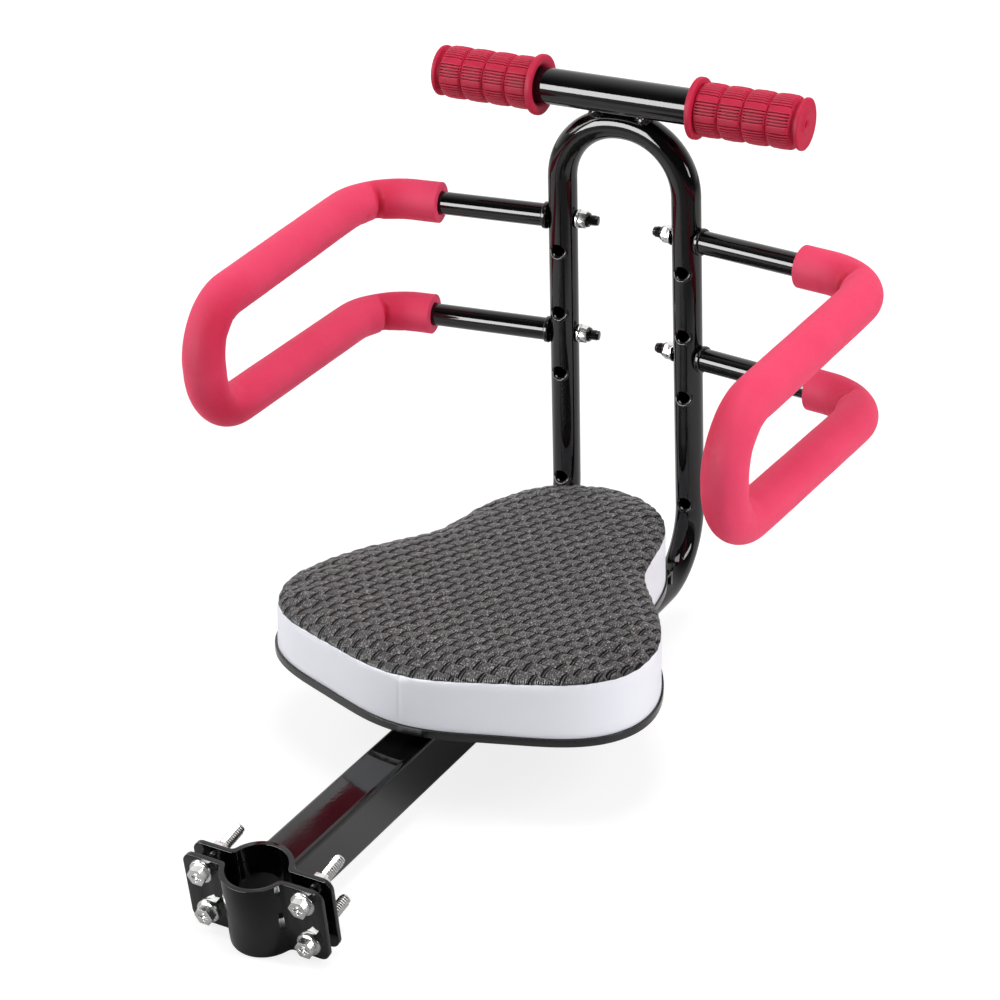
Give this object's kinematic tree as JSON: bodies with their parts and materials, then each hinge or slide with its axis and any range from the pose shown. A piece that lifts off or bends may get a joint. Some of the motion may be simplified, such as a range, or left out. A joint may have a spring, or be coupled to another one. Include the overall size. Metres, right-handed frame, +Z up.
{
  "type": "child bicycle seat",
  "caption": "Child's front bicycle seat with a tube clamp, beam, three-lobed cushion, upright hoop, gripped handlebar and foam-covered side guard rails.",
  "frame": {"origin": "centre of the clamp's bore, on its axis, half way up the clamp", "axes": "+Z up as mounted on a level bicycle, +Y from the clamp along the beam to the hoop, the way the child looks, +X along the handlebar to the child's right hand"},
  "size_m": [0.3722, 0.475, 0.3717],
  "materials": {
    "frame_paint": "gloss black paint on steel",
    "zinc_steel": "zinc plated",
    "grip_rubber": "moulded crimson rubber",
    "guard_foam": "matt pink-red closed-cell foam",
    "black_plastic": "matt black",
    "cushion_foam": "open-cell upholstery foam",
    "white_vinyl": "smooth white vinyl",
    "woven_vinyl": "embossed basket-weave black vinyl"
  },
  "bodies": {
    "root": {"clamp_rear_half": "frame_paint", "clamp_front_half": "frame_paint", "clamp_bolts": "zinc_steel", "clamp_washers": "zinc_steel", "clamp_nuts": "zinc_steel", "support_beam": "frame_paint", "hoop_tube": "frame_paint", "handlebar_tube": "frame_paint", "handlebar_welds": "frame_paint", "grip_right": "grip_rubber", "grip_left": "grip_rubber", "guard_rail_right": "frame_paint", "guard_rail_left": "frame_paint", "guard_foam_right": "guard_foam", "guard_foam_left": "guard_foam", "guard_end_plugs": "black_plastic", "guard_studs": "frame_paint", "guard_washers": "zinc_steel", "guard_nuts": "zinc_steel", "seat_channel_front": "frame_paint", "seat_channel_rear": "frame_paint", "seat_board": "black_plastic", "seat_foam": "cushion_foam", "seat_side_band": "white_vinyl", "seat_top_cover": "woven_vinyl", "seat_screws": "zinc_steel"}
  },
  "joints": []
}
